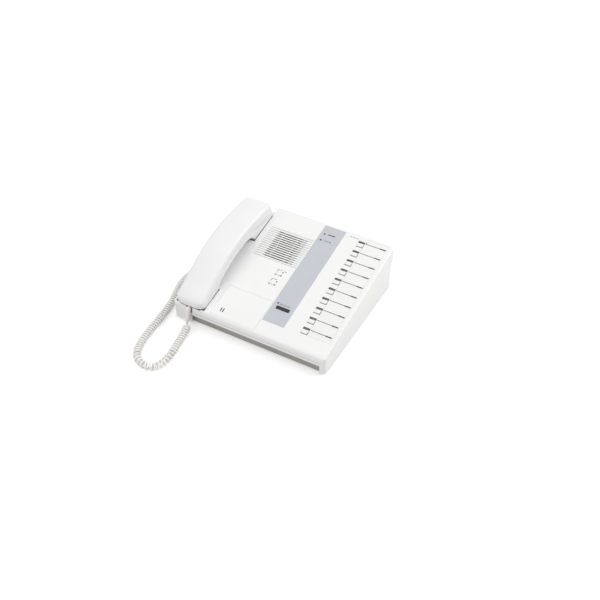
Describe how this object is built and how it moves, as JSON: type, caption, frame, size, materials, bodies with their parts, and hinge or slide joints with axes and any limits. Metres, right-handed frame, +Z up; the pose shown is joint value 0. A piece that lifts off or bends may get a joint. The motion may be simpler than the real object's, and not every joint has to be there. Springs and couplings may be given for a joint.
{
  "type": "desk intercom station",
  "caption": "Wedge-shaped desk intercom in pale plastic: lift-off handset on a curly cord, speaker grille, grey strip with a talk key, and a column of station keys.",
  "frame": {"origin": "on the resting surface, under the middle of the case", "axes": "+Z up, the front of the case faces -Y, the handset is on the -X side"},
  "size_m": [0.2798, 0.3272, 0.0926],
  "materials": {
    "case_white": "fine matt moulded finish",
    "handset_white": "smooth satin moulded finish",
    "key_white": "satin",
    "base_grey": "matt dark warm grey",
    "strip_grey": "satin blue-grey",
    "black_plastic": "smooth dark",
    "rubber_black": "matt",
    "steel": "plated",
    "cone_dark": "matt fibre cone",
    "magnet_dark": "ferrite",
    "board_green": "solder mask",
    "core_brown": "lacquered",
    "block_green": "matt",
    "ribbon_grey": "soft insulation",
    "lamp_red": "clear tinted",
    "lamp_green": "clear tinted",
    "card_white": "satin film",
    "rule_black": "printed dark",
    "cord_cream": "soft satin"
  },
  "bodies": {
    "base": {"top_cover": "case_white", "base_pan": "base_grey", "rubber_feet": "rubber_black", "base_screws": "steel", "front_panel": "case_white", "fascia_strip": "strip_grey", "status_lamps": "lamp_red", "talk_lamp": "lamp_green", "lamp_windows": "black_plastic", "name_card": "card_white", "name_rules": "rule_black", "speaker_frame": "steel", "speaker_cone": "cone_dark", "speaker_magnet": "magnet_dark", "speaker_clamps": "steel", "main_board": "board_green", "main_board_screws": "steel", "key_board": "board_green", "key_board_screws": "steel", "key_switches": "black_plastic", "fascia_board": "board_green", "fascia_switches": "black_plastic", "desk_microphone": "black_plastic", "line_transformer": "core_brown", "terminal_block": "block_green", "ribbon_cable": "ribbon_grey", "hook_switch": "black_plastic", "cord_gland": "rubber_black", "curly_cord": "cord_cream"},
    "handset": {"handset_upper": "handset_white", "handset_lower": "handset_white", "receiver_capsule": "steel", "transmitter_capsule": "steel", "handset_weight": "steel", "handset_screws": "steel", "strain_relief": "cord_cream"},
    "hook_plunger": {"hook_plunger": "black_plastic"},
    "talk_key": {"talk_key": "black_plastic"},
    "function_key_a": {"function_key_a": "key_white"},
    "function_key_b": {"function_key_b": "key_white"},
    "station_key_01": {"station_key_01": "key_white"},
    "station_key_02": {"station_key_02": "key_white"},
    "station_key_03": {"station_key_03": "key_white"},
    "station_key_04": {"station_key_04": "key_white"},
    "station_key_05": {"station_key_05": "key_white"},
    "station_key_06": {"station_key_06": "key_white"},
    "station_key_07": {"station_key_07": "key_white"},
    "station_key_08": {"station_key_08": "key_white"},
    "station_key_09": {"station_key_09": "key_white"},
    "station_key_10": {"station_key_10": "key_white"}
  },
  "joints": [
    {"name": "handset_lift", "type": "slide", "parent": "base", "child": "handset", "axis": [0, -0.1908, 0.9816], "range_m": [0, 0.06]},
    {"name": "hook_plunger_slide", "type": "slide", "parent": "base", "child": "hook_plunger", "axis": [0, -0.1908, 0.9816], "range_m": [0, 0.004]},
    {"name": "talk_key_press", "type": "slide", "parent": "base", "child": "talk_key", "axis": [0, 0.1908, -0.9816], "range_m": [0, 0.0015], "stiffness_N_per_m": 300, "springref_m": -0.002},
    {"name": "function_key_a_press", "type": "slide", "parent": "base", "child": "function_key_a", "axis": [0, 0.1908, -0.9816], "range_m": [0, 0.0015], "stiffness_N_per_m": 300, "springref_m": -0.002},
    {"name": "function_key_b_press", "type": "slide", "parent": "base", "child": "function_key_b", "axis": [0, 0.1908, -0.9816], "range_m": [0, 0.0015], "stiffness_N_per_m": 300, "springref_m": -0.002},
    {"name": "station_key_01_press", "type": "slide", "parent": "base", "child": "station_key_01", "axis": [0, 0.1908, -0.9816], "range_m": [0, 0.0015], "stiffness_N_per_m": 300, "springref_m": -0.002},
    {"name": "station_key_02_press", "type": "slide", "parent": "base", "child": "station_key_02", "axis": [0, 0.1908, -0.9816], "range_m": [0, 0.0015], "stiffness_N_per_m": 300, "springref_m": -0.002},
    {"name": "station_key_03_press", "type": "slide", "parent": "base", "child": "station_key_03", "axis": [0, 0.1908, -0.9816], "range_m": [0, 0.0015], "stiffness_N_per_m": 300, "springref_m": -0.002},
    {"name": "station_key_04_press", "type": "slide", "parent": "base", "child": "station_key_04", "axis": [0, 0.1908, -0.9816], "range_m": [0, 0.0015], "stiffness_N_per_m": 300, "springref_m": -0.002},
    {"name": "station_key_05_press", "type": "slide", "parent": "base", "child": "station_key_05", "axis": [0, 0.1908, -0.9816], "range_m": [0, 0.0015], "stiffness_N_per_m": 300, "springref_m": -0.002},
    {"name": "station_key_06_press", "type": "slide", "parent": "base", "child": "station_key_06", "axis": [0, 0.1908, -0.9816], "range_m": [0, 0.0015], "stiffness_N_per_m": 300, "springref_m": -0.002},
    {"name": "station_key_07_press", "type": "slide", "parent": "base", "child": "station_key_07", "axis": [0, 0.1908, -0.9816], "range_m": [0, 0.0015], "stiffness_N_per_m": 300, "springref_m": -0.002},
    {"name": "station_key_08_press", "type": "slide", "parent": "base", "child": "station_key_08", "axis": [0, 0.1908, -0.9816], "range_m": [0, 0.0015], "stiffness_N_per_m": 300, "springref_m": -0.002},
    {"name": "station_key_09_press", "type": "slide", "parent": "base", "child": "station_key_09", "axis": [0, 0.1908, -0.9816], "range_m": [0, 0.0015], "stiffness_N_per_m": 300, "springref_m": -0.002},
    {"name": "station_key_10_press", "type": "slide", "parent": "base", "child": "station_key_10", "axis": [0, 0.1908, -0.9816], "range_m": [0, 0.0015], "stiffness_N_per_m": 300, "springref_m": -0.002}
  ],
  "couplings": [
    {"joint": "hook_plunger_slide", "follows": "handset_lift", "ratio": 0.0666}
  ]
}
